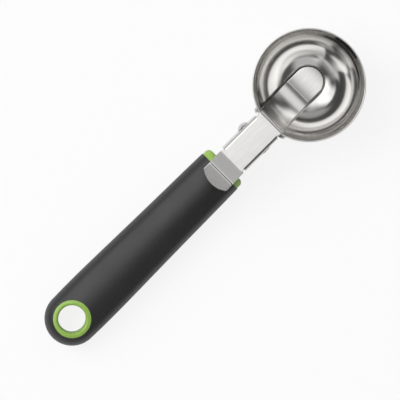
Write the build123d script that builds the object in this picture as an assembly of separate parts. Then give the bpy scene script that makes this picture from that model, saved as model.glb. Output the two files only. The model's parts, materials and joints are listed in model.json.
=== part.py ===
from build123d import *
from math import asin, atan2, ceil, cos, degrees, hypot, pi, sin, sqrt
import os

# Lever ice cream scoop, in millimetres.
# The origin is the centre of the hanging hole, halfway through the handle.
# +X runs along the handle to the bowl, +Z points out of the bowl's mouth.

# ---------------------------------------------------------------- handle
hole_radius = 7.2                # hanging hole through the butt
ring_wall = 2.65                 # hard ring left bare around the hole
hole_round = 1.2                 # rounding of the hole's two mouths
butt_half_width = 14.25          # the butt is this round in plan
shoulder_half_width = 14.45      # widest place, just past the hole
shoulder_x = 18.0
front_half_width = 12.9          # the straight taper ends here
handle_length = 112.5            # hanging hole to the collar's front face
collar_length = 4.45             # bare hard collar at the front
collar_step = 0.3                # the collar lies this far under the soft skin
collar_round = 2.4
top_height = 8.3                 # middle plane to the crown of the top
top_swell = 0.4
belly_depth = 8.3                # middle plane to the crown of the underside
belly_swell = 1.9                # extra depth in the palm
side_radius = 7.2                # rounding of the handle's flanks
skin_thickness = 2.4             # soft grip moulded over the hard core
station_count = 5                # cross-sections that the handle is lofted through

# ---------------------------------------------------------------- bowl
bowl_radius = 29.4               # outside of the half ball
bowl_wall = 0.8
rim_height = 16.0                # the rim's plane above the handle's middle plane
rim_round = 0.3

# ---------------------------------------------------------------- neck
neck_length = 29.9               # collar's front face to the outside of the bowl
neck_sheet = 1.5
neck_bend = 1.0                  # inside radius of the channel's two bends
neck_half_width = 6.6            # outside of the channel's walls
tang_length = 62.0               # how far the channel runs into the handle
tang_top = 4.5                   # upper edge of the walls inside the handle
tang_bottom = -3.0               # underside of the channel inside the handle
underside_rise = 4.0             # the underside climbs this much to the bowl
rise_start = 3.5                 # straight stretch in front of the collar
rise_run = 24.0
wall_below_rim = 0.7             # top edge of the walls under the rim's plane
wall_fall_start = 1.8            # the walls' top edge falls off behind the pivot
wall_fall_end = 1.9              # and levels out this far inside the collar
key_hole_radius = 2.6            # the core's plastic flows through these
key_hole_count = 3
key_hole_pitch = 16.0
saddle_half_width = 10.8         # ears that hug the outside of the bowl
saddle_below = 3.0               # saddle below the channel's underside
saddle_corner = 3.5
weld_gap = 0.1                   # neck to bowl

# ---------------------------------------------------------------- lever
lever_sheet = 1.2
lever_bend = 0.6                 # inside radius of the cheeks' bends
strip_half_width = 8.2           # tab and slope
notch_half_width = 7.3           # narrow place beside each end of the cheeks
notch_length = 1.5
tongue_half_width = 7.85
tab_reach = 32.2                 # pivot to the tab's rear edge
tab_rise = 4.8                   # tab above the plate, at the bend
tab_fall = 0.6                   # from the bend down to the tab's rear edge
tab_edge_radius = 12.8           # curve of the tab's rear edge in plan
tab_length = 7.4                 # rear edge to the bend above the slope
slope_run = 7.6                  # bend to bend
strip_bend = 1.6                 # mid-sheet radius of the two bends
plate_over_rim = 0.3             # plate clear of the rim
rim_bend = 1.8                   # mid-sheet radius where the plate dips into the bowl
tongue_gap = 0.5                 # tongue's corners clear of the bowl's wall
tongue_centre_rise = 6.0         # centre of the tongue's curve above the rim
crease_setback = 7.3             # crease to the middle of the bowl
tongue_depth = 23.0              # flat end of the tongue below the rim
crease_bend = 1.5
tongue_overshoot = 9.5           # tip past the middle of the bowl
cheek_depth = 13.0               # plate's top face to the cheeks' lower edge
cheek_rear = 14.9                # pivot to the cheeks' rear edge
cheek_front = 8.8                # pivot to the cheeks' front edge
cheek_rear_corner = 2.5
cheek_front_corner = 6.0

# ---------------------------------------------------------------- pivot
pivot_setback = 10.0             # pivot to the outside of the bowl
pivot_below_rim = 3.8
pin_radius = 1.75
head_radius = 3.2
head_height = 2.0
head_edge = 0.4                  # straight edge under the dome
peen_radius = 2.3
peen_height = 0.3
pin_seat_fit = 0.02              # pin in the neck's walls
pin_running_fit = 0.05           # lever, sleeve and washers on the pin
end_play = 0.15                  # cheek to the pin's head and peened end
washer_thickness = 0.4
washer_play = 0.05               # each side of a washer
washer_edge_gap = 0.3            # washer's rim to the start of the cheek's bend
sleeve_wall = 0.65
sleeve_play = 0.1                # each end of the sleeve

# ---------------------------------------------------------------- spring
wire_radius = 0.5
coil_gap = 0.2                   # coil on the sleeve
coil_turns = 4                   # whole turns, before the part turn to the legs
coil_pitch = 1.15
leg_end_gap = 6.9                # the legs end this far in front of the collar
leg_seat_gap = 0.1               # legs off the plate and off the channel's floor

# ---------------------------------------------------------------- derived
bowl_inside = bowl_radius - bowl_wall
bowl_reach = handle_length + neck_length + bowl_radius
pivot_x = handle_length + neck_length - pivot_setback
pivot_z = rim_height - pivot_below_rim
ring_radius = hole_radius + ring_wall
collar_x = handle_length - collar_length
plate_under = rim_height + plate_over_rim
plate_top = plate_under + lever_sheet
plate_mid = plate_under + lever_sheet / 2
cheek_inside = neck_half_width + washer_thickness + 2 * washer_play
lever_half_width = cheek_inside + lever_sheet
neck_inside = neck_half_width - neck_sheet
wall_top = rim_height - wall_below_rim
channel_end_x = bowl_reach - bowl_inside / 2
leg_reach = pivot_x - handle_length - leg_end_gap
sleeve_radius = pin_radius + pin_running_fit + sleeve_wall
coil_radius = sleeve_radius + coil_gap + wire_radius
washer_radius = plate_under - lever_bend - pivot_z - washer_edge_gap
through = 4 * bowl_radius        # length of a cut that goes right through any piece


def save(shape, node):
    export_step(shape, f"parts/{node}.step")


def side_plate(outline, half_width):
    """A solid of the given XZ outline, reaching half_width each side of the middle."""
    return extrude(outline, half_width, both=True)


def on_pivot(shape):
    """Place a turned piece, made around Z, on the pivot's axis with its top towards +Y."""
    return Pos(pivot_x, 0, pivot_z) * Rot(-90, 0, 0) * shape


# ================================================================ handle
def half_width_at(x):
    if x <= shoulder_x:
        return butt_half_width + (shoulder_half_width - butt_half_width) * x / shoulder_x
    taper = (shoulder_half_width - front_half_width) / (collar_x - shoulder_x)
    return shoulder_half_width - taper * (x - shoulder_x)


def swell_at(x):
    return sin(pi * x / handle_length)


def crown_tangent(half_width, height, flank):
    """Where a crown of this height runs into the round flank."""
    inset = half_width - flank
    crown_radius = (inset**2 + height**2 - flank**2) / (2 * (height - flank))
    drop = crown_radius - height
    reach = crown_radius / hypot(inset, drop)
    return inset * reach, drop * reach - drop


def oval_edges(x, inset):
    """Right half of the handle's cross-section: crown, flank and belly."""
    half_width = half_width_at(x) - inset
    top = top_height + top_swell * swell_at(x) - inset
    belly = belly_depth + belly_swell * swell_at(x) - inset
    flank = side_radius - inset
    top_y, top_z = crown_tangent(half_width, top, flank)
    low_y, low_z = crown_tangent(half_width, belly, flank)
    return half_width, top, belly, (top_y, top_z), (low_y, -low_z)


def oval(x, inset):
    """The handle's whole cross-section at x, moved inwards by inset."""
    half_width, top, belly, high, low = oval_edges(x, inset)
    high_left = (-high[0], high[1])
    low_left = (-low[0], low[1])
    with BuildSketch(Plane.YZ.offset(x)) as section:
        with BuildLine():
            ThreePointArc(high_left, (0, top), high)
            ThreePointArc(high, (half_width, 0), low)
            ThreePointArc(low, (0, -belly), low_left)
            ThreePointArc(low_left, (-half_width, 0), high_left)
        make_face()
    return section.sketch


def round_butt(inset):
    """Half a pebble: the section at the hanging hole, turned about the hole's axis."""
    half_width, top, belly, high, low = oval_edges(0, inset)
    crown_radius = (high[0]**2 + (top - high[1])**2) / (2 * (top - high[1]))
    belly_radius = (low[0]**2 + (belly + low[1])**2) / (2 * (belly + low[1]))
    with BuildSketch(Plane.YZ) as half:
        with BuildLine():
            RadiusArc((0, top), high, crown_radius)
            ThreePointArc(high, (half_width, 0), low)
            RadiusArc(low, (0, -belly), belly_radius)
            Line((0, -belly), (0, top))
        make_face()
    return revolve(half.sketch, Axis.Z, 180)


def handle_form(end_x, inset):
    """The handle's outside, moved inwards by inset, from the butt to end_x."""
    middle = [shoulder_x + (end_x - shoulder_x) * i / (station_count - 2) for i in range(station_count - 1)]
    stations = [0] + middle
    return round_butt(inset) + loft([oval(x, inset) for x in stations])


def ring_boss():
    return Cylinder(ring_radius, through) & handle_form(collar_x, 0)


def make_collar():
    back = oval(collar_x, collar_step)
    front = oval(handle_length, collar_step)
    collar = loft([back, front])
    rim = collar.faces().sort_by(Axis.X)[-1].edges()
    return fillet(rim, collar_round)


def make_handle_core(neck):
    core = handle_form(collar_x, skin_thickness) + make_collar() + ring_boss()
    core -= Cylinder(hole_radius, through)
    curved = [edge for edge in core.edges() if edge.geom_type != GeomType.LINE]
    mouths = [edge for edge in curved if abs(hypot((edge @ 0.5).X, (edge @ 0.5).Y) - hole_radius) < ring_wall / 2]
    core = fillet(mouths, hole_round)
    return core - neck


def make_handle_grip():
    grip = handle_form(collar_x, 0) - handle_form(collar_x, skin_thickness)
    return grip - Cylinder(ring_radius, through)


# ================================================================ bowl
def make_bowl():
    with BuildSketch(Plane.XZ) as wall:
        with BuildLine():
            RadiusArc((0, -bowl_radius), (bowl_radius, 0), -bowl_radius)
            Line((bowl_radius, 0), (bowl_inside, 0))
            RadiusArc((bowl_inside, 0), (0, -bowl_inside), bowl_inside)
            Line((0, -bowl_inside), (0, -bowl_radius))
        make_face()
    bowl = revolve(wall.sketch, Axis.Z)
    bowl = fillet(bowl.edges().group_by(Axis.Z)[-1], rim_round)
    return Pos(bowl_reach, 0, rim_height) * bowl


# ================================================================ neck
def neck_outline(lift, top_margin):
    """Side view of the channel; lift raises the underside, top_margin the upper edge."""
    tang_x = handle_length - tang_length
    rise_x = handle_length + rise_start
    bottom = tang_bottom + lift
    fall_x = pivot_x - wall_fall_start
    level_x = handle_length - wall_fall_end
    with BuildSketch(Plane.XZ) as outline:
        with BuildLine():
            Polyline(
                (tang_x, bottom),
                (rise_x, bottom),
                (rise_x + rise_run, bottom + underside_rise),
                (channel_end_x, bottom + underside_rise),
                (channel_end_x, wall_top + top_margin),
                (fall_x, wall_top + top_margin),
                (level_x, tang_top + top_margin),
                (tang_x, tang_top + top_margin),
                close=True,
            )
        make_face()
    return outline.sketch


def channel_block(outline, half_width, bend):
    """The outline as a block whose lower long edges are rounded."""
    block = side_plate(outline, half_width)
    faces = block.faces().filter_by(lambda f: f.normal_at().Z < -0.5)
    long_edges = [edge for face in faces for edge in face.edges() if abs(edge.tangent_at(0.5).Y) < 0.5]
    return fillet(long_edges, bend)


def make_saddle():
    """The patch of the channel's front end that is formed to the outside of the bowl."""
    inner = bowl_radius + weld_gap
    low = tang_bottom + underside_rise - saddle_below
    height = wall_top - low
    shell = Sphere(inner + neck_sheet) - Sphere(inner)
    patch = Plane.YZ * RectangleRounded(2 * saddle_half_width, height, saddle_corner)
    prism = extrude(patch, -bowl_radius - 2 * neck_sheet)
    prism = Pos(0, 0, (low + wall_top) / 2 - rim_height) * prism
    return Pos(bowl_reach, 0, rim_height) * (shell & prism)


def make_neck():
    margin = 3 * neck_sheet
    block = channel_block(neck_outline(0, 0), neck_half_width, neck_bend + neck_sheet)
    hollow = channel_block(neck_outline(neck_sheet, margin), neck_inside, neck_bend)
    neck = block - Pos(-neck_sheet, 0, 0) * hollow - hollow
    neck += make_saddle()
    neck -= Pos(bowl_reach, 0, rim_height) * Sphere(bowl_radius + weld_gap)
    first_key = handle_length - tang_length + key_hole_pitch / 2
    for i in range(key_hole_count):
        neck -= Pos(first_key + i * key_hole_pitch, 0, tang_bottom) * Cylinder(key_hole_radius, margin)
    return neck - on_pivot(Cylinder(pin_radius + pin_seat_fit, through))


# ================================================================ lever
def tongue_circle():
    """Centre and radius of the tongue's curve, at the middle of the sheet."""
    back_reach = sqrt(bowl_inside**2 - tongue_half_width**2) - tongue_gap
    # The back face passes the rim at back_reach; the front face meets the flat end at the crease.
    rise = tongue_centre_rise
    drop = tongue_depth + rise
    near = crease_setback
    sheet = lever_sheet
    # (back_reach - c)^2 + rise^2 = (radius + sheet)^2 and (near - c)^2 + drop^2 = radius^2
    gather = back_reach**2 + rise**2 - near**2 - drop**2 - sheet**2
    slope = 2 * (near - back_reach)
    # radius = (gather + slope * c) / (2 * sheet), put back into the second equation
    a = slope**2 - 4 * sheet**2
    b = 2 * gather * slope + 8 * sheet**2 * near
    d = gather**2 - 4 * sheet**2 * (near**2 + drop**2)
    root = sqrt(b**2 - 4 * a * d)
    offsets = [(-b + root) / (2 * a), (-b - root) / (2 * a)]
    offset = [c for c in offsets if (gather + slope * c) > 0][0]
    radius = (gather + slope * offset) / (2 * sheet)
    return bowl_reach - offset, rim_height + rise, radius + sheet / 2


def lever_path():
    """Side view of the strip's middle line, from the tab's rear edge to the tongue's tip."""
    centre_x, centre_z, radius = tongue_circle()
    tab_x = pivot_x - tab_reach
    tab_mid = plate_mid + tab_rise
    bend_z = plate_mid - rim_bend
    bend_x = centre_x - sqrt((radius + rim_bend)**2 - (centre_z - bend_z)**2)
    share = radius / (radius + rim_bend)
    dip = (centre_x + (bend_x - centre_x) * share, centre_z + (bend_z - centre_z) * share)
    flat_z = rim_height - tongue_depth - lever_sheet / 2
    crease_z = flat_z + crease_bend
    crease_x = centre_x - sqrt((radius - crease_bend)**2 - (centre_z - crease_z)**2)
    share = radius / (radius - crease_bend)
    turn = (centre_x + (crease_x - centre_x) * share, centre_z + (crease_z - centre_z) * share)
    with BuildLine(Plane.XZ) as path:
        FilletPolyline(
            (tab_x, tab_mid - tab_fall),
            (tab_x + tab_length, tab_mid),
            (tab_x + tab_length + slope_run, plate_mid),
            (bend_x, plate_mid),
            radius=strip_bend,
        )
        TangentArc((bend_x, plate_mid), dip, tangent=(1, 0))
        tongue = RadiusArc(dip, turn, -radius)
        TangentArc(turn, (crease_x, flat_z), tangent=((tongue % 1).X, (tongue % 1).Z))
        Line((crease_x, flat_z), (bowl_reach + tongue_overshoot, flat_z))
    return path.wire()


def blank_outline():
    """The strip seen from above: tab, notches beside the cheeks, tongue with a round tip."""
    tab_x = pivot_x - tab_reach
    tab_end = pivot_x - cheek_rear - notch_length
    tongue_start = pivot_x + cheek_front + notch_length
    tip_x = bowl_reach + tongue_overshoot - tongue_half_width
    with BuildSketch() as blank:
        with Locations((tab_x + tab_edge_radius, 0)):
            Circle(tab_edge_radius)
        with Locations(((tab_x + tab_end) / 2, 0)):
            Rectangle(tab_end - tab_x, 2 * strip_half_width, mode=Mode.INTERSECT)
        with Locations(((tab_end + tongue_start) / 2, 0)):
            Rectangle(tongue_start - tab_end + 2 * notch_length, 2 * notch_half_width)
        with Locations(((tongue_start + tip_x) / 2, 0)):
            Rectangle(tip_x - tongue_start, 2 * tongue_half_width)
        with Locations((tip_x, 0)):
            Circle(tongue_half_width)
    return blank.sketch


def make_cheeks():
    """The plate with its two sides folded down, as an upturned channel."""
    length = cheek_rear + cheek_front
    middle_x = pivot_x + (cheek_front - cheek_rear) / 2
    middle_z = plate_top - cheek_depth / 2
    block = Pos(middle_x, 0, middle_z) * Box(length, 2 * lever_half_width, cheek_depth)
    block = fillet(block.edges().filter_by(Axis.X).group_by(Axis.Z)[-1], lever_bend + lever_sheet)
    hollow = Pos(middle_x, 0, middle_z - lever_sheet) * Box(2 * length, 2 * cheek_inside, cheek_depth)
    hollow = fillet(hollow.edges().filter_by(Axis.X).group_by(Axis.Z)[-1], lever_bend)
    cheeks = block - hollow
    corners = cheeks.edges().filter_by(Axis.Y).group_by(Axis.Z)[0]
    cheeks = fillet(corners.group_by(Axis.X)[0], cheek_rear_corner)
    corners = cheeks.edges().filter_by(Axis.Y).group_by(Axis.X)[-1].group_by(Axis.Z)[0]
    return fillet(corners, cheek_front_corner)


def make_lever():
    path = lever_path()
    start = Plane(origin=path @ 0, x_dir=(0, 1, 0), z_dir=path % 0)
    strip = sweep(start * Rectangle(2 * strip_half_width, lever_sheet), path)
    reach = bowl_radius + tab_rise
    lever = strip & extrude(Pos(0, 0, rim_height) * blank_outline(), reach, both=True)
    lever += make_cheeks()
    return lever - on_pivot(Cylinder(pin_radius + pin_running_fit, through))


# ================================================================ pivot and spring
def make_pivot_pin():
    """Domed head on the +Y side, a low peened end on the other."""
    head_y = lever_half_width + end_play
    dome_height = head_height - head_edge
    with BuildSketch(Plane.XZ) as half:
        with BuildLine():
            Polyline(
                (0, head_y + head_height),
                (0, -head_y - peen_height),
                (peen_radius, -head_y - peen_height),
                (peen_radius, -head_y),
                (pin_radius, -head_y),
                (pin_radius, head_y),
                (head_radius, head_y),
                (head_radius, head_y + head_edge),
            )
            dome_radius = (head_radius**2 + dome_height**2) / (2 * dome_height)
            RadiusArc((head_radius, head_y + head_edge), (0, head_y + head_height), -dome_radius)
        make_face()
    return on_pivot(revolve(half.sketch, Axis.Z))


def make_sleeve():
    length = 2 * (neck_inside - sleeve_play)
    tube = Cylinder(sleeve_radius, length) - Cylinder(pin_radius + pin_running_fit, length)
    return on_pivot(tube)


def make_washer(side):
    disc = Cylinder(washer_radius, washer_thickness)
    disc -= Cylinder(pin_radius + pin_running_fit, washer_thickness)
    seat = neck_half_width + (cheek_inside - neck_half_width) / 2
    return on_pivot(Pos(0, 0, side * seat) * disc)


def channel_floor_at(x):
    """Height of the channel's floor, on its upper face."""
    climb = (x - handle_length - rise_start) / rise_run
    return tang_bottom + neck_sheet + underside_rise * min(max(climb, 0), 1)


def tangent_angle(target_z, side):
    """Turn of the coil at which the wire runs straight to the leg's end; side is 1 above, -1 below."""
    distance = hypot(leg_reach, target_z)
    bearing = atan2(target_z, -leg_reach)
    return bearing - side * (pi / 2 - asin(coil_radius / distance))


def make_spring():
    """Torsion spring: both legs point to the handle, one under the plate, one on the floor."""
    upper_z = plate_under - wire_radius - leg_seat_gap - pivot_z
    lower_z = channel_floor_at(pivot_x - leg_reach) + wire_radius + leg_seat_gap - pivot_z
    upper_turn = tangent_angle(upper_z, 1)
    lower_turn = tangent_angle(lower_z, -1) - 2 * pi * ceil(tangent_angle(lower_z, -1) / (2 * pi))
    sweep_angle = upper_turn - lower_turn + 2 * pi * coil_turns
    height = coil_pitch * sweep_angle / (2 * pi)
    upper_leg = sqrt(hypot(leg_reach, upper_z)**2 - coil_radius**2)
    lower_leg = sqrt(hypot(leg_reach, lower_z)**2 - coil_radius**2)
    coil = Pos(0, 0, -height / 2) * Rot(0, 0, degrees(lower_turn)) * Helix(coil_pitch, height, coil_radius)
    into = Line((coil @ 0) - (coil % 0) * lower_leg, coil @ 0)
    out_of = Line(coil @ 1, (coil @ 1) + (coil % 1) * upper_leg)
    path = Wire([into.edge(), coil.edge(), out_of.edge()])
    start = Plane(origin=path @ 0, z_dir=path % 0)
    spring = sweep(start * Circle(wire_radius), path)
    return Plane((pivot_x, 0, pivot_z), x_dir=(1, 0, 0), z_dir=(0, -1, 0)).location * spring


os.makedirs("parts", exist_ok=True)
neck = make_neck()
save(make_handle_grip(), "handle_grip")
save(make_handle_core(neck), "handle_core")
save(neck, "neck")
save(make_bowl(), "bowl")
save(make_lever(), "ejector_lever")
save(make_pivot_pin(), "pivot_pin")
save(make_sleeve(), "pivot_sleeve")
save(make_washer(1), "left_washer")
save(make_washer(-1), "right_washer")
save(make_spring(), "return_spring")
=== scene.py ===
# %% Start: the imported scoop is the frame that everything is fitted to
import json
import math

import bmesh
import bpy
from mathutils import Matrix, Quaternion, Vector


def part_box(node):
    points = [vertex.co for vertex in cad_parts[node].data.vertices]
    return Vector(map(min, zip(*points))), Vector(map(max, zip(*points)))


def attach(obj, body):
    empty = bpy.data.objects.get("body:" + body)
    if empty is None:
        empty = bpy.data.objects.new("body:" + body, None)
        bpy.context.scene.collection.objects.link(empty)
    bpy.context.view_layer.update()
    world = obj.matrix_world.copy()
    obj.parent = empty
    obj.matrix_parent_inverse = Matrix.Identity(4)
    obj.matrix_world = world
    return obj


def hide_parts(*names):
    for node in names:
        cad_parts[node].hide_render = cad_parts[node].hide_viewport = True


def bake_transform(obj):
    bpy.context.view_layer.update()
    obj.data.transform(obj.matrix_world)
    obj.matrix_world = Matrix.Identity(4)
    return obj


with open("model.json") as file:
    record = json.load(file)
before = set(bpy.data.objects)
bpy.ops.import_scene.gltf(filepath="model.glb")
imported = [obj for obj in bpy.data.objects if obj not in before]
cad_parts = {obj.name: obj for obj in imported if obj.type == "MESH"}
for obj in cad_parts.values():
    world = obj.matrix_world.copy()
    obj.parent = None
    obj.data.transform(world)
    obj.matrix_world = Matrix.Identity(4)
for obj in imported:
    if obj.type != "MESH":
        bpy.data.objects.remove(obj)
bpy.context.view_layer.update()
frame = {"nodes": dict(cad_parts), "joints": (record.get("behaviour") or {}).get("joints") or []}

# %% [markdown]
# ## Working in millimetres and by hand
# The scoop is a small object, so sizes are written in millimetres and turned to metres once. Pieces are
# modelled with the operators that a person would use: a primitive, then extrude, spin, bisect and bevel in
# edit mode. An operator acts on what is selected, so each step first picks edges or corners by place.

# %% Helpers for selecting and editing
MM = 0.001
HAIR = 0.02 * MM                 # how near counts as "at" a place


def pick_only(piece):
    """Leave just this piece selected and active."""
    bpy.ops.object.select_all(action="DESELECT")
    piece.select_set(True)
    bpy.context.view_layer.objects.active = piece


def edit(piece):
    pick_only(piece)
    bpy.ops.object.mode_set(mode="EDIT")


def finish_edit():
    bpy.ops.object.mode_set(mode="OBJECT")


def near(value, place):
    return abs(value - place) < HAIR


def pick(kind, test):
    """In edit mode, select the corners, edges or faces whose every corner passes the test."""
    bpy.ops.mesh.select_mode(type=kind)
    bpy.ops.mesh.select_all(action="DESELECT")
    piece = bpy.context.edit_object
    mesh = bmesh.from_edit_mesh(piece.data)
    parts = {"VERT": mesh.verts, "EDGE": mesh.edges, "FACE": mesh.faces}[kind]
    for part in parts:
        corners = [part] if kind == "VERT" else part.verts
        part.select_set(all(test(corner.co) for corner in corners))
    bmesh.update_edit_mesh(piece.data)


def pull(x=0.0, y=0.0, z=0.0):
    """Extrude what is selected by this much."""
    bpy.ops.mesh.extrude_region_move(TRANSFORM_OT_translate={"value": (x, y, z)})


def primitive(kind, name, **size):
    """Add a primitive with nothing else selected, and name it."""
    bpy.ops.object.select_all(action="DESELECT")
    getattr(bpy.ops.mesh, f"primitive_{kind}_add")(**size)
    piece = bpy.context.object
    piece.name = name
    bpy.ops.object.transform_apply(location=True, rotation=True, scale=True)
    return piece


def clean():
    """In edit mode, merge doubled corners and turn the faces outwards."""
    bpy.ops.mesh.select_all(action="SELECT")
    bpy.ops.mesh.remove_doubles(threshold=HAIR / 4)
    bpy.ops.mesh.normals_make_consistent(inside=False)


def modify(piece, kind, **settings):
    """Add a modifier with these settings and apply it."""
    pick_only(piece)
    modifier = piece.modifiers.new(kind.title(), kind)
    for setting, value in settings.items():
        setattr(modifier, setting, value)
    bpy.ops.object.modifier_apply(modifier=modifier.name)


def smooth(piece):
    """Smooth shading that keeps flat faces flat, and edges over 40 degrees sharp."""
    pick_only(piece)
    bpy.ops.object.shade_smooth_by_angle(angle=math.radians(40))
    modify(piece, "WEIGHTED_NORMAL", keep_sharp=True, weight=100)


def report(piece):
    low = Vector(map(min, *[v.co for v in piece.data.vertices])) / MM
    high = Vector(map(max, *[v.co for v in piece.data.vertices])) / MM
    size = " x ".join(f"{length:.1f}" for length in high - low)
    print(f"{piece.name}: {len(piece.data.polygons)} faces, {size} mm")


# %% [markdown]
# ## Where things are
# The frame's boxes give the places: the bowl's box gives its middle, its radius and the plane of its rim. The
# pivot is where the joint says. Sizes that no box gives are named where a piece first needs them.

# %% Places taken from the frame
bowl_low, bowl_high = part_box("bowl")
lever_low, lever_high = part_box("ejector_lever")
bowl_x = (bowl_low.x + bowl_high.x) / 2
bowl_radius = bowl_high.z - bowl_low.z
rim_z = bowl_high.z
pivot = Vector(frame["joints"][0]["pos_m"])
print(f"bowl radius {bowl_radius / MM:.2f} mm, rim at {rim_z / MM:.2f} mm, pivot at {pivot / MM}")

# %% [markdown]
# ## The bowl
# On the real scoop the bowl is drawn from one round of sheet, then polished while it turns. A globe with
# fine rings has the true round form, which a mirror finish needs. Its upper half is cut off at the rim, the
# wall gets its thickness inwards, and the rim is rounded as the polishing mop leaves it.

# %% Bowl
bowl_wall = 0.8 * MM
rim_round = 0.3 * MM

bowl = primitive("uv_sphere", "bowl_shell", segments=256, ring_count=128, radius=bowl_radius,
                 location=(bowl_x, 0, rim_z))
edit(bowl)
bpy.ops.mesh.select_all(action="SELECT")
bpy.ops.mesh.bisect(plane_co=(bowl_x, 0, rim_z), plane_no=(0, 0, 1), clear_outer=True)
clean()
finish_edit()
modify(bowl, "SOLIDIFY", thickness=bowl_wall, offset=-1, use_even_offset=True)
modify(bowl, "BEVEL", width=rim_round, segments=4, limit_method="ANGLE", angle_limit=math.radians(60))
smooth(bowl)
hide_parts("bowl")
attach(bowl, "root")
report(bowl)

# %% [markdown]
# ## The lever
# One strip of sheet makes the thumb tab, the plate with its two folded cheeks, and the tongue that sweeps
# the bowl. It could be cut from a block, but a strip that is bent the way the press forms it keeps one even
# thickness. The middle of the sheet is drawn first: straight stretches are extruded and bends are spun. Then
# the sheet gets its thickness, and its edges are eased, as a tumbling drum leaves them.

# %% Lever: sizes
sheet = 1.2 * MM
plate_z = rim_z + 0.9 * MM                     # middle of the sheet, just over the rim
tab_z = plate_z + 4.8 * MM                     # at the bend; the rear edge is a little lower
tab_fall = 0.6 * MM
flat_z = rim_z - 25.3 * MM                     # the flat end of the tongue, just over the bowl's floor
tab_x = lever_low.x
tab_radius = 12.8 * MM                         # the thumb tab's curved rear edge
strip_half = 8.2 * MM                          # half the strip's width at the tab and the slope
neck_half = 7.3 * MM                           # beside the notches
tongue_half = 7.85 * MM
fold_half = 6.5 * MM                           # the plate is flat between its two folds
fold_radius = 1.2 * MM                         # bends are measured to the middle of the sheet
tab_bend_radius = 2.0 * MM
strip_bend = 1.6 * MM                          # between the slope and the plate
rim_bend = 1.8 * MM
crease_bend = 4.0 * MM                         # between the tongue's curve and its end
slope_run = 7.6 * MM
tab_length = 7.4 * MM
notch = 1.5 * MM                               # cut beside each cheek, so that it folds cleanly
cheek_rear = pivot.x - 14.9 * MM
cheek_front = pivot.x + 8.8 * MM
cheek_low = plate_z + sheet / 2 - 13.0 * MM
tongue_centre = (bowl_x + 0.2 * MM, rim_z + 0.4 * MM)    # x and z of the middle of its long curve
tongue_radius = 26.5 * MM
dish_radius = 85 * MM                          # the tongue's end is almost flat
dish_x = bowl_x + 1.9 * MM                     # its lowest line
tip_x = lever_high.x - tongue_half

# %% [markdown]
# A thumb tab with a curved rear edge is a disc that is cut to the strip's width. Its straight front edge is
# then bent down, pulled along the slope, and bent level again.


# %% Lever: tab and slope
def bend(centre_x, centre_z, angle, steps):
    """Spin the picked edge about a line across the strip; a positive angle turns the strip down."""
    bpy.ops.mesh.spin(steps=steps, angle=-angle, center=(centre_x, 0, centre_z), axis=(0, 1, 0))


def across(x, half):
    """A test for what lies across the strip at x, no further out than half."""
    return lambda co: near(co.x, x) and abs(co.y) < half + HAIR


def cut(place, side, **clear):
    bpy.ops.mesh.select_all(action="SELECT")
    bpy.ops.mesh.bisect(plane_co=place, plane_no=side, **clear)


def cut_columns():
    """Cut lines along the strip where the notches and the folds will need them."""
    for y in (-neck_half, -fold_half, fold_half, neck_half):
        cut((0, y, 0), (0, 1, 0))


rise = math.atan2(tab_z - plate_z, slope_run)
fall = math.atan2(tab_fall, tab_length)
bend_run = strip_bend * math.tan(rise / 2)
tab_run = tab_bend_radius * math.tan((rise + fall) / 2)
slope_length = math.hypot(slope_run, tab_z - plate_z) - bend_run - tab_run
plate_start = tab_x + tab_length + slope_run + bend_run
tab_bend = Vector((tab_x + tab_length, 0, tab_z))

lever = primitive("circle", "thumb_lever", vertices=160, radius=tab_radius, fill_type="NGON",
                  location=(tab_x + tab_radius, 0, tab_z))
edit(lever)
cut((tab_bend.x - tab_run, 0, 0), (1, 0, 0), clear_outer=True)
cut((0, strip_half, 0), (0, 1, 0), clear_outer=True)
cut((0, -strip_half, 0), (0, -1, 0), clear_outer=True)
cut_columns()
pick("EDGE", across(tab_bend.x - tab_run, strip_half))
bend(tab_bend.x - tab_run, tab_z - tab_bend_radius, rise + fall, 8)
pull(x=slope_length * math.cos(rise + fall), z=-slope_length * math.sin(rise + fall))
bpy.ops.mesh.select_all(action="SELECT")
bpy.ops.transform.rotate(value=fall, orient_axis="Y", center_override=tab_bend)
pick("EDGE", across(tab_bend.x + slope_run - bend_run * math.cos(rise), strip_half))
bend(plate_start, plate_z + strip_bend, -rise, 6)
pull(x=cheek_rear - notch - plate_start)
finish_edit()
print(f"the slope drops {math.degrees(rise):.1f} degrees over {slope_run / MM:.1f} mm")
report(lever)

# %% [markdown]
# Between the notches, the plate has a cheek on each side: its edge is spun down through a quarter turn and
# pulled on straight. The cheeks' lower corners are rounded by bevelling the corner points alone.

# %% Lever: plate and cheeks
edit(lever)
pick("EDGE", across(cheek_rear - notch, neck_half))
pull(x=notch)
pick("EDGE", across(cheek_rear, fold_half))
pull(x=cheek_front - cheek_rear)
for side in (1, -1):
    pick("EDGE", lambda co: near(co.y, side * fold_half)
         and cheek_rear - HAIR < co.x < cheek_front + HAIR)
    bpy.ops.mesh.spin(steps=6, angle=side * math.pi / 2, axis=(1, 0, 0),
                      center=(0, side * fold_half, plate_z - fold_radius))
    pull(z=cheek_low - (plate_z - fold_radius))
for corner_x, corner_round in ((cheek_rear, 2.5 * MM), (cheek_front, 6.0 * MM)):
    pick("VERT", lambda co: near(co.x, corner_x) and near(co.z, cheek_low))
    bpy.ops.mesh.bevel(offset=corner_round, segments=10, affect="VERTICES")
finish_edit()
report(lever)

# %% [markdown]
# The tongue leaves the plate over the rim, follows the bowl's wall down on one long curve and ends flat,
# just over the bowl's floor. Each bend touches the next one, so the middles of the two small bends follow
# from the long curve, by Pythagoras.

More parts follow.
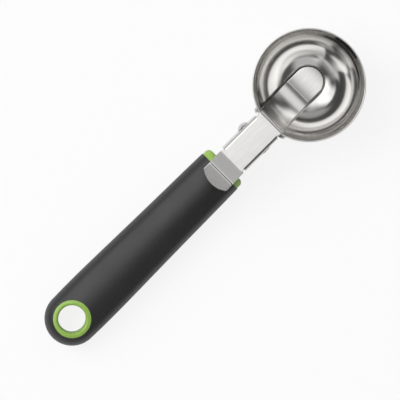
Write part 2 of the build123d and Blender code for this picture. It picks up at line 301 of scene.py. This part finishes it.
# %% Lever: tongue
bend_drop = tongue_centre[1] - (plate_z - rim_bend)
bend_x = tongue_centre[0] - math.sqrt((tongue_radius + rim_bend) ** 2 - bend_drop ** 2)
crease_drop = tongue_centre[1] - (flat_z + crease_bend)
crease_x = tongue_centre[0] - math.sqrt((tongue_radius - crease_bend) ** 2 - crease_drop ** 2)
steep = math.asin((tongue_centre[0] - bend_x) / (tongue_radius + rim_bend))
shallow = math.asin((tongue_centre[0] - crease_x) / (tongue_radius - crease_bend))
print(f"the tongue leaves the rim at {math.degrees(steep):.1f} degrees and meets its crease at"
      f" {math.degrees(shallow):.1f}")

tongue_start = cheek_front + notch
edit(lever)
pick("EDGE", lambda co: across(cheek_front, fold_half)(co) and near(co.z, plate_z))
pull(x=notch)
for side in (1, -1):
    pick("EDGE", lambda co: near(co.y, side * fold_half) and near(co.z, plate_z)
         and co.x > cheek_front - HAIR)
    pull(y=side * (neck_half - fold_half))
pick("EDGE", across(tongue_start, neck_half))
pull(x=bend_x - tongue_start)
bend(bend_x, plate_z - rim_bend, steep, 12)
bend(*tongue_centre, shallow - steep, 32)
bend(crease_x, flat_z + crease_bend, -shallow, 6)
pull(x=tip_x - crease_x)
for side in (1, -1):
    pick("EDGE", lambda co: near(co.y, side * neck_half) and co.x > tongue_start - HAIR)
    pull(y=side * (tongue_half - neck_half))
finish_edit()

tip = primitive("circle", "tongue_tip", vertices=96, radius=tongue_half, fill_type="NGON",
                location=(tip_x, 0, flat_z))
edit(tip)
cut((tip_x, 0, 0), (1, 0, 0), clear_inner=True)
cut_columns()
finish_edit()
pick_only(lever)
tip.select_set(True)
bpy.ops.object.join()
edit(lever)
clean()
finish_edit()
report(lever)

# %% [markdown]
# The press leaves the tongue's end very slightly dished, and polished steel shows that as a soft gradient.
# Lines are cut across the end, and its corners are moved down or up onto a large circle. No operator places
# them that exactly, so the heights are set in code.

# %% Lever: the dished end of the tongue
dish_lines = 14
end_length = tip_x + tongue_half - crease_x


def dish(x):
    """How far the dish moves the sheet at x, and nothing at the crease."""
    return ((x - dish_x) ** 2 - (crease_x - dish_x) ** 2) / (2 * dish_radius)


edit(lever)
for line in range(1, dish_lines):
    cut((crease_x + end_length * line / dish_lines, 0, 0), (1, 0, 0))
pick("VERT", lambda co: co.x > crease_x + HAIR and near(co.z, flat_z))
end_mesh = bmesh.from_edit_mesh(lever.data)
for corner in end_mesh.verts:
    if corner.select:
        corner.co.z += dish(corner.co.x)
bmesh.update_edit_mesh(lever.data)
finish_edit()
print(f"the dish is {-dish(dish_x) / MM:.2f} mm deep")

# %% [markdown]
# Thickness goes on both sides of the drawn sheet. The pin's hole is drilled through both cheeks at once
# with a Boolean, and every sheared edge is rounded well over, to be kind to the thumb. Weighted normals keep
# the flats flat up to the eased edge, which is what makes polished sheet read as sheet.

# %% Lever: thickness, holes and eased edges
pin_hole = 1.8 * MM
edge_ease = 0.4 * MM

modify(lever, "SOLIDIFY", thickness=sheet, offset=0, use_even_offset=True)
drill = primitive("cylinder", "drill", vertices=64, radius=pin_hole, depth=4 * strip_half,
                  location=pivot, rotation=(math.pi / 2, 0, 0))
modify(lever, "BOOLEAN", object=drill, operation="DIFFERENCE", solver="EXACT")
bpy.data.objects.remove(drill)
modify(lever, "BEVEL", width=edge_ease, segments=4, limit_method="ANGLE", angle_limit=math.radians(50))
smooth(lever)
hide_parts("ejector_lever")
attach(lever, "lever")
report(lever)

# %% [markdown]
# ## The neck
# The neck is a stamping of the same steel, and its shape in the frame is right, so it is copied. The copy
# is merged, its flat faces are joined up again, and its sheared edges are eased, so that they catch the light.

# %% Neck
neck_ease = 0.15 * MM

pick_only(frame["nodes"]["neck"])
bpy.ops.object.duplicate()
neck = bpy.context.object
neck.name = "neck_stamping"
edit(neck)
clean()
bpy.ops.mesh.dissolve_limited(angle_limit=math.radians(0.5))
finish_edit()
modify(neck, "BEVEL", width=neck_ease, segments=2, limit_method="ANGLE", angle_limit=math.radians(50))
smooth(neck)
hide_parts("neck")
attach(neck, "root")
report(neck)

# %% [markdown]
# ## The return spring
# A torsion spring is wire wound on a mandrel, with two straight legs. A curve drawn through the wire's
# middle and given a round section is the same thing in Blender. On the real scoop one leg stays on the neck
# and the other goes with the lever, so the coil twists when the lever is pressed; here the wire is one still
# piece.

# %% Spring
wire_radius = 0.5 * MM
coil_radius = 3.15 * MM
coil_pitch = 1.15 * MM
whole_turns = 4
coil_steps = 24                                # points on one turn
leg_back = 13.0 * MM                           # how far behind the pivot the legs end
low_leg = -12.533 * MM                         # height of the legs' ends, from the pivot
high_leg = 3.5 * MM


def leg_turn(back, up):
    """The angle from straight up to a leg's end, and from there to where the leg leaves the coil."""
    reach = math.hypot(back, up)
    return math.atan2(-back, up), math.acos(coil_radius / reach)


aim_low, open_low = leg_turn(leg_back, low_leg)
aim_high, open_high = leg_turn(leg_back, high_leg)
first_turn = aim_low - open_low
last_turn = aim_high + open_high
turns = whole_turns + ((last_turn - first_turn) / (2 * math.pi)) % 1.0
half_width = turns * coil_pitch / 2
print(f"the spring has {turns:.2f} turns over {2 * half_width / MM:.1f} mm")


def coil_point(part):
    """A place on the coil, from 0 at the lower leg to 1 at the upper one."""
    turn = first_turn + part * turns * 2 * math.pi
    return (pivot.x + coil_radius * math.sin(turn), half_width * (1 - 2 * part),
            pivot.z + coil_radius * math.cos(turn))


steps = round(turns * coil_steps)
wire = [(pivot.x - leg_back, half_width, pivot.z + low_leg)]
wire += [coil_point(step / steps) for step in range(steps + 1)]
wire += [(pivot.x - leg_back, -half_width, pivot.z + high_leg)]
curve = bpy.data.curves.new("return_spring_wire", "CURVE")
curve.dimensions = "3D"
curve.bevel_depth = wire_radius
curve.bevel_resolution = 4
curve.use_fill_caps = True
line = curve.splines.new("POLY")
line.points.add(len(wire) - 1)
for point, place in zip(line.points, wire):
    point.co = (*place, 1)
spring = bpy.data.objects.new("return_spring_wire", curve)
bpy.context.scene.collection.objects.link(spring)
pick_only(spring)
bpy.ops.object.convert(target="MESH")
smooth(spring)
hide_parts("return_spring")
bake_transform(spring)
report(spring)

# %% [markdown]
# ## Materials
# Every finish starts from what the real part is made of. Colours are written as a web page would write
# them and turned to linear light once. One helper adds a node with its settings and its links. Real skins and
# grains are hundredths of a millimetre, too fine to show at this distance. Each is drawn as coarse as it has
# to be to show, about half a millimetre, and its comment says so.


# %% Helpers for materials
def linear(hex_code):
    """An sRGB hex colour as linear light, with alpha."""
    values = [int(hex_code[place:place + 2], 16) / 255 for place in (1, 3, 5)]
    return tuple(v / 12.92 if v <= 0.04045 else ((v + 0.055) / 1.055) ** 2.4 for v in values) + (1.0,)


def add_node(tree, kind, sockets=(), **settings):
    """Add a shader node; a socket takes either a value or another node's output."""
    node = tree.nodes.new("ShaderNode" + kind)
    for setting, value in settings.items():
        setattr(node, setting, value)
    for name, value in dict(sockets).items():
        if isinstance(value, bpy.types.NodeSocket):
            tree.links.new(value, node.inputs[name])
        else:
            node.inputs[name].default_value = value
    return node


def finish_material(name, **shader):
    """A new material with its shader's own sockets set; returns its tree and its shader."""
    material = bpy.data.materials.new(name)
    material.use_nodes = True
    tree = material.node_tree
    surface = tree.nodes["Principled BSDF"]
    for socket, value in shader.items():
        surface.inputs[socket.replace("_", " ")].default_value = value
    print("material", name)
    return material, tree, surface


def wear(piece, material):
    """Put one material on a piece."""
    piece.data.materials.clear()
    piece.data.materials.append(material)


def per_mm(size):
    """The scale of a pattern on Object coordinates whose features are this many millimetres."""
    return 1 / (size * MM)


# %% [markdown]
# ### Soft grip
# Black TPE, a rubbery plastic moulded over the hard core. The mould is spark-eroded, so the skin has a fine
# even grain that scatters light: no sharp highlights, only a broad soft sheen. The real grain is a few
# hundredths of a millimetre, and it is drawn at 0.7 mm so that it shows. Handling makes the sheen uneven.

# %% Soft-touch TPE
tpe, tree, surface = finish_material("black soft-touch TPE", Base_Color=linear("#131315"), IOR=1.5,
                                     Specular_IOR_Level=0.95)
where = add_node(tree, "TexCoord").outputs["Object"]
grain = add_node(tree, "TexNoise", {"Vector": where, "Scale": per_mm(0.7), "Detail": 2.0, "Roughness": 0.6})
handling = add_node(tree, "TexNoise", {"Vector": where, "Scale": per_mm(18), "Detail": 2.0})
rough = add_node(tree, "MapRange", {"Value": handling.outputs["Fac"], "From Min": 0.3, "From Max": 0.7,
                                    "To Min": 0.4, "To Max": 0.46})
bump = add_node(tree, "Bump", {"Height": grain.outputs["Fac"], "Strength": 1.0, "Distance": 0.09 * MM})
tree.links.new(rough.outputs["Result"], surface.inputs["Roughness"])
tree.links.new(bump.outputs["Normal"], surface.inputs["Normal"])
wear(frame["nodes"]["handle_grip"], tpe)

# %% [markdown]
# ### Hard core
# Leaf-green polypropylene shows at the collar and round the hanging hole. PP comes out of a lightly
# textured mould with a waxy satin surface, and its slow shrinking leaves it very slightly uneven. The mould's
# texture is drawn at 0.6 mm, coarser than the real one, so that it shows.

# %% Green PP
pp, tree, surface = finish_material("green moulded PP", IOR=1.49, Specular_IOR_Level=0.7)
where = add_node(tree, "TexCoord").outputs["Object"]
cloud = add_node(tree, "TexNoise", {"Vector": where, "Scale": per_mm(6), "Detail": 2.0})
green = add_node(tree, "ValToRGB", {"Fac": cloud.outputs["Fac"]})
green.color_ramp.elements[0].position = 0.35
green.color_ramp.elements[1].position = 0.65
green.color_ramp.elements[0].color = linear("#8fb64c")
green.color_ramp.elements[1].color = linear("#98be57")
rough = add_node(tree, "MapRange", {"Value": cloud.outputs["Fac"], "To Min": 0.34, "To Max": 0.42})
skin = add_node(tree, "TexNoise", {"Vector": where, "Scale": per_mm(0.6), "Detail": 2.0})
bump = add_node(tree, "Bump", {"Height": skin.outputs["Fac"], "Strength": 0.5, "Distance": 0.015 * MM})
tree.links.new(green.outputs["Color"], surface.inputs["Base Color"])
tree.links.new(rough.outputs["Result"], surface.inputs["Roughness"])
tree.links.new(bump.outputs["Normal"], surface.inputs["Normal"])
wear(frame["nodes"]["handle_core"], pp)

# %% [markdown]
# ### Polished bowl
# 304 stainless steel, mopped to a near mirror while it spins, so the last fine lines run in circles round
# the bowl's axis. A pattern that depends only on the distance from that axis gives those circles. The mop's
# real lines are hundredths of a millimetre apart, and they are drawn at 0.7 mm so that they show.

# %% Polished stainless bowl
mirror, tree, surface = finish_material("mopped 304 stainless", Base_Color=linear("#dad9d7"), Metallic=1.0)
where = add_node(tree, "TexCoord").outputs["Object"]
centred = add_node(tree, "Mapping", {"Vector": where, "Location": (-bowl_x, 0, -rim_z)})
flat = add_node(tree, "VectorMath", {0: centred.outputs["Vector"], 1: (1, 1, 0)}, operation="MULTIPLY")
radius = add_node(tree, "VectorMath", {0: flat.outputs["Vector"]}, operation="LENGTH")
rings = add_node(tree, "TexNoise", {"W": radius.outputs["Value"], "Scale": per_mm(0.7), "Detail": 4.0},
                 noise_dimensions="1D")
rough = add_node(tree, "MapRange", {"Value": rings.outputs["Fac"], "From Min": 0.3, "From Max": 0.7,
                                    "To Min": 0.07, "To Max": 0.13})
bump = add_node(tree, "Bump", {"Height": rings.outputs["Fac"], "Strength": 0.3, "Distance": 0.004 * MM})
tree.links.new(rough.outputs["Result"], surface.inputs["Roughness"])
tree.links.new(bump.outputs["Normal"], surface.inputs["Normal"])
wear(bowl, mirror)

# %% [markdown]
# ### Pressed strip, neck, pin and spring
# The strip parts are stainless too, but only tumbled after pressing: a softer shine with a faint rolling
# grain along the strip. The neck has the mill's plain satin, the pin is turned and the wire is drawn. All
# these grains are drawn at 0.4 to 0.5 mm across, coarser than the real ones, so that they show.


# %% Stainless sheet and wire
def steel(name, hex_code, smoothest, roughest, grain_mm, squeeze):
    """Stainless steel; a squeeze below 1 on an axis draws the grain out along it."""
    material, tree, surface = finish_material(name, Base_Color=linear(hex_code), Metallic=1.0)
    where = add_node(tree, "TexCoord").outputs["Object"]
    drawn = add_node(tree, "Mapping", {"Vector": where, "Scale": squeeze})
    grain = add_node(tree, "TexNoise", {"Vector": drawn.outputs["Vector"], "Scale": per_mm(grain_mm),
                                        "Detail": 3.0})
    rough = add_node(tree, "MapRange", {"Value": grain.outputs["Fac"], "From Min": 0.3, "From Max": 0.7,
                                        "To Min": smoothest, "To Max": roughest})
    bump = add_node(tree, "Bump", {"Height": grain.outputs["Fac"], "Strength": 0.1, "Distance": 0.002 * MM})
    tree.links.new(rough.outputs["Result"], surface.inputs["Roughness"])
    tree.links.new(bump.outputs["Normal"], surface.inputs["Normal"])
    return material


wear(lever, steel("tumbled 304 stainless strip", "#d9d8d6", 0.15, 0.21, 0.4, (0.05, 1, 1)))
wear(neck, steel("satin 304 stainless sheet", "#cfcfce", 0.25, 0.31, 0.5, (0.05, 1, 1)))
pin_steel = steel("turned stainless rod", "#d8d8d7", 0.12, 0.2, 0.4, (1, 1, 1))
wear(frame["nodes"]["pivot_pin"], pin_steel)
wear(frame["nodes"]["pivot_sleeve"], pin_steel)
wear(spring, steel("drawn spring wire", "#c4c4c3", 0.25, 0.35, 0.5, (1, 1, 1)))

# %% [markdown]
# ### Washers
# Natural nylon is cloudy ivory, slightly glossy from its mould.

# %% Nylon washers
nylon, tree, surface = finish_material("natural nylon", Roughness=0.35, IOR=1.53)
where = add_node(tree, "TexCoord").outputs["Object"]
cloud = add_node(tree, "TexNoise", {"Vector": where, "Scale": per_mm(1.5)})
ivory = add_node(tree, "ValToRGB", {"Fac": cloud.outputs["Fac"]})
ivory.color_ramp.elements[0].color = linear("#dcd7c6")
ivory.color_ramp.elements[1].color = linear("#ebe7da")
tree.links.new(ivory.outputs["Color"], surface.inputs["Base Color"])
for washer in ("left_washer", "right_washer"):
    wear(frame["nodes"][washer], nylon)

# %% [markdown]
# ## The table
# The scoop lies on its handle's belly and on the bowl, so the table under it is turned by the small angle
# of the line that touches both. To the camera it is nearly white and still shows the scoop's soft shadow.
# Polished metal sees part of that glow, and the table's own shading under it.

# %% Table
belly = min((v.co for v in frame["nodes"]["handle_grip"].data.vertices), key=lambda co: co.z)
run, drop = bowl_x - belly.x, rim_z - belly.z
lean = math.asin(bowl_radius / math.hypot(run, drop)) - math.atan2(drop, run)
table_half = 4.0
bpy.ops.object.select_all(action="DESELECT")
bpy.ops.mesh.primitive_plane_add(size=2 * table_half, location=(belly.x, 0, belly.z), rotation=(0, lean, 0))
table = bpy.context.object
table.name = "table"
print(f"the table leans {math.degrees(lean):.2f} degrees")

# %% Table's paper
glow_to_camera = 0.85
glow_to_metal = 0.3

paper, tree, surface = finish_material("white paper", Base_Color=linear("#f6f6f6"), Roughness=0.9)
rays = add_node(tree, "LightPath").outputs
seen = add_node(tree, "Math", {0: rays["Is Camera Ray"], 1: glow_to_camera}, operation="MULTIPLY")
share = add_node(tree, "Math", {0: rays["Is Glossy Ray"], 1: glow_to_metal, 2: seen.outputs["Value"]},
                 operation="MULTIPLY_ADD")
glow = add_node(tree, "Emission", {"Color": (1, 1, 1, 1), "Strength": 1.0})
mix = add_node(tree, "MixShader", {0: share.outputs["Value"], 1: surface.outputs["BSDF"],
                                   2: glow.outputs["Emission"]})
tree.links.new(mix.outputs["Shader"], tree.nodes["Material Output"].inputs["Surface"])
wear(table, paper)

# %% [markdown]
# ## Light
# A product table stands in a white studio under large soft boxes. Polished steel shows them as bands, so
# their places matter more than on paint. Each box is a soft-edged rectangle on the sky, given by where it
# hangs, how wide and high it is, how soft its edge is, how bright it is and how far it is turned. Most of them
# hang on the +Y side, the sky between them stays dim, and the studio's white walls glow all round, low down.

# %% One soft box on the sky
world = bpy.data.worlds.new("studio")
bpy.context.scene.world = world
world.use_nodes = True
sky = world.node_tree
sky.nodes.clear()
looking = add_node(sky, "TexCoord").outputs["Generated"]


def soft_box(tilt_x, tilt_y, half_x, half_y, soft, bright, turned):
    """A box that hangs tilt_x, tilt_y degrees from straight up, toward +X and +Y. Its half sizes and its
    turn are in degrees too."""
    hang = Vector((math.tan(math.radians(tilt_x)), math.tan(math.radians(tilt_y)), 1)).normalized()
    side = (Vector((1, 0, 0)) - hang * hang.x).normalized()
    side.rotate(Quaternion(hang, math.radians(turned)))
    ahead = add_node(sky, "VectorMath", {0: looking, 1: hang}, operation="DOT_PRODUCT")
    shine = add_node(sky, "Math", {0: ahead.outputs["Value"], 1: 0.0}, operation="GREATER_THAN")
    for axis, half in ((side, half_x), (hang.cross(side), half_y)):
        edge = math.sin(math.radians(half))
        offset = add_node(sky, "VectorMath", {0: looking, 1: axis}, operation="DOT_PRODUCT")
        away = add_node(sky, "Math", {0: offset.outputs["Value"]}, operation="ABSOLUTE")
        inside = add_node(sky, "MapRange", {"Value": away.outputs["Value"], "From Min": edge - soft,
                                            "From Max": edge + soft, "To Min": 1.0, "To Max": 0.0},
                          interpolation_type="SMOOTHSTEP")
        shine = add_node(sky, "Math", {0: shine.outputs["Value"], 1: inside.outputs["Result"]},
                         operation="MULTIPLY")
    return add_node(sky, "Math", {0: shine.outputs["Value"], 1: bright}, operation="MULTIPLY")


# %% The boxes, the walls and the dim sky between them
dim_sky = 0.1
wall_glow = 0.25
wall_top = math.cos(math.radians(66))          # the walls fade out between these two heights
wall_full = math.cos(math.radians(82))
boxes = ((1, -3, 8, 5, 0.04, 0.75, -13),       # over the plate
         (-13, 19, 24, 11, 0.14, 1.7, -33),    # the main boxes, on the +Y side
         (21, 21, 13, 17, 0.12, 0.75, 26),
         (-14, 48, 22, 16, 0.15, 1.05, -49),
         (17, 45, 26, 11, 0.14, 0.45, -9),
         (52, 0, 13, 24, 0.06, 0.9, 0),        # in front of the bowl
         (-68, 0, 16, 28, 0.12, 0.3, 0),       # behind the handle
         (-38, -42, 24, 17, 0.14, 0.5, -38))   # a dim one on the -Y side

height = add_node(sky, "VectorMath", {0: looking, 1: (0, 0, 1)}, operation="DOT_PRODUCT")
walls = add_node(sky, "MapRange", {"Value": height.outputs["Value"], "From Min": wall_full,
                                   "From Max": wall_top, "To Min": wall_glow, "To Max": 0.0},
                 interpolation_type="SMOOTHSTEP")
total = add_node(sky, "Math", {0: walls.outputs["Result"], 1: dim_sky}, operation="ADD")
for box in boxes:
    lit = soft_box(*box)
    total = add_node(sky, "Math", {0: total.outputs["Value"], 1: lit.outputs["Value"]}, operation="ADD")
studio = add_node(sky, "Background", {"Color": (1, 1, 1, 1), "Strength": total.outputs["Value"]})
plain = add_node(sky, "Background", {"Color": (1, 1, 1, 1), "Strength": 1.0})
to_camera = add_node(sky, "LightPath").outputs["Is Camera Ray"]
shown = add_node(sky, "MixShader", {0: to_camera, 1: studio.outputs["Background"],
                                    2: plain.outputs["Background"]})
add_node(sky, "OutputWorld", {"Surface": shown.outputs["Shader"]})
print(len(boxes), "soft boxes hang over the table")

# %% [markdown]
# Plastic needs more light than polished steel, which is bright wherever a box is mirrored in it. A wide
# area lamp on the +Y side brings the plastics and the table to the level at which a colour looks as it is
# written. Reflections don't show it, so the steel keeps its bands.

# %% Fill lamp
fill_place = Vector((-0.5, 1.35, 1.3))
fill_size = 1.4
fill_watts = 20.0

fill = bpy.data.lights.new("fill lamp", "AREA")
fill.size = fill_size
fill.energy = fill_watts
fill_lamp = bpy.data.objects.new("fill lamp", fill)
bpy.context.scene.collection.objects.link(fill_lamp)
fill_lamp.location = fill_place
fill_lamp.rotation_euler = (fill_place - Vector((bowl_x / 2, 0, 0))).to_track_quat("Z", "Y").to_euler()
fill_lamp.visible_glossy = False
print(f"the fill lamp gives {fill.energy:.0f} W")

# %% [markdown]
# ## Camera
# The camera looks almost straight down from two and a half metres with a long lens, so the scoop is hardly
# foreshortened. The handle runs up the picture to the right, at 45 degrees.

# %% Camera
lean_back = math.radians(3.5)                  # the camera stands this far to the +Y side of straight above
turn = math.radians(44.83)                     # the scoop's turn in the picture
picture_width = 206.4 * MM                     # what the picture spans at the scoop
distance = 2.5
aim = Vector((90.25, -2.72, 10.0)) * MM

right = Vector((math.cos(turn), -math.sin(turn) * math.cos(lean_back),
                math.sin(turn) * math.sin(lean_back)))
back = Vector((0, math.sin(lean_back), math.cos(lean_back)))
up = back.cross(right)
lens = bpy.data.cameras.new("camera")
lens.sensor_width = 36.0
lens.lens = lens.sensor_width * distance / picture_width
lens.clip_start = 0.1
lens.clip_end = 20.0
camera = bpy.data.objects.new("camera", lens)
bpy.context.scene.collection.objects.link(camera)
camera.location = aim + back * distance
camera.rotation_euler = Matrix((right, up, back)).transposed().to_euler()
bpy.context.scene.camera = camera
bpy.context.scene.view_settings.view_transform = "Standard"
bpy.context.scene.cycles.glossy_bounces = 12   # light crosses a polished bowl several times
print(f"lens {lens.lens:.0f} mm")
